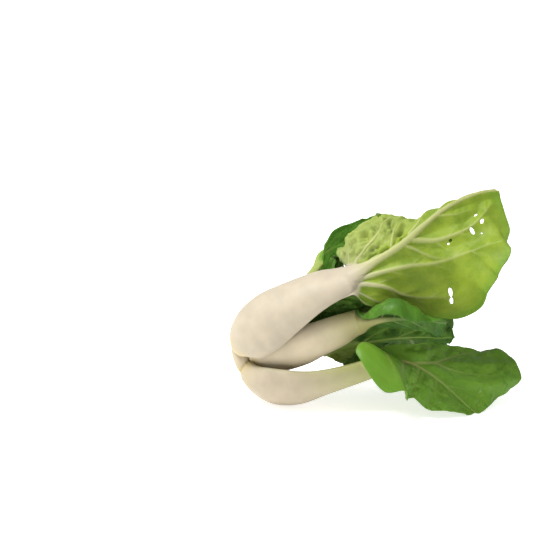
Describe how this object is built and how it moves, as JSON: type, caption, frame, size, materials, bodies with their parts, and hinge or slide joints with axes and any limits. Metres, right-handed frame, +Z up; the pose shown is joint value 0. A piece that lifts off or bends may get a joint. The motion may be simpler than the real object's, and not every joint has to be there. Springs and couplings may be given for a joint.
{
  "type": "bok choy head",
  "caption": "Head of bok choy lying on its side: a cut stem base, cupped pale stalks around inner leaves, and spreading green blades.",
  "frame": {"origin": "middle of the outline seen from above, at the level of the surface the head lies on", "axes": "+Z up from the surface, +X along the head from the cut base toward the leaf tips, -Y the side with the open stalks"},
  "size_m": [0.1967, 0.162, 0.1472],
  "materials": {
    "stem_base": "satin",
    "outer_leaf_top": "satin",
    "outer_leaf_bottom": "satin",
    "outer_leaf_back": "satin",
    "middle_leaf_front": "satin",
    "middle_leaf_back": "satin",
    "inner_leaf_below": "satin",
    "inner_leaf_back": "satin",
    "inner_leaf_top": "satin",
    "inner_leaf_front": "satin",
    "heart_leaf_front": "satin",
    "heart_leaf_back": "satin"
  },
  "bodies": {
    "root": {"stem_base": "stem_base", "outer_leaf_top": "outer_leaf_top", "outer_leaf_bottom": "outer_leaf_bottom", "outer_leaf_back": "outer_leaf_back", "middle_leaf_front": "middle_leaf_front", "middle_leaf_back": "middle_leaf_back", "inner_leaf_below": "inner_leaf_below", "inner_leaf_back": "inner_leaf_back", "inner_leaf_top": "inner_leaf_top", "inner_leaf_front": "inner_leaf_front", "heart_leaf_front": "heart_leaf_front", "heart_leaf_back": "heart_leaf_back"}
  },
  "joints": []
}
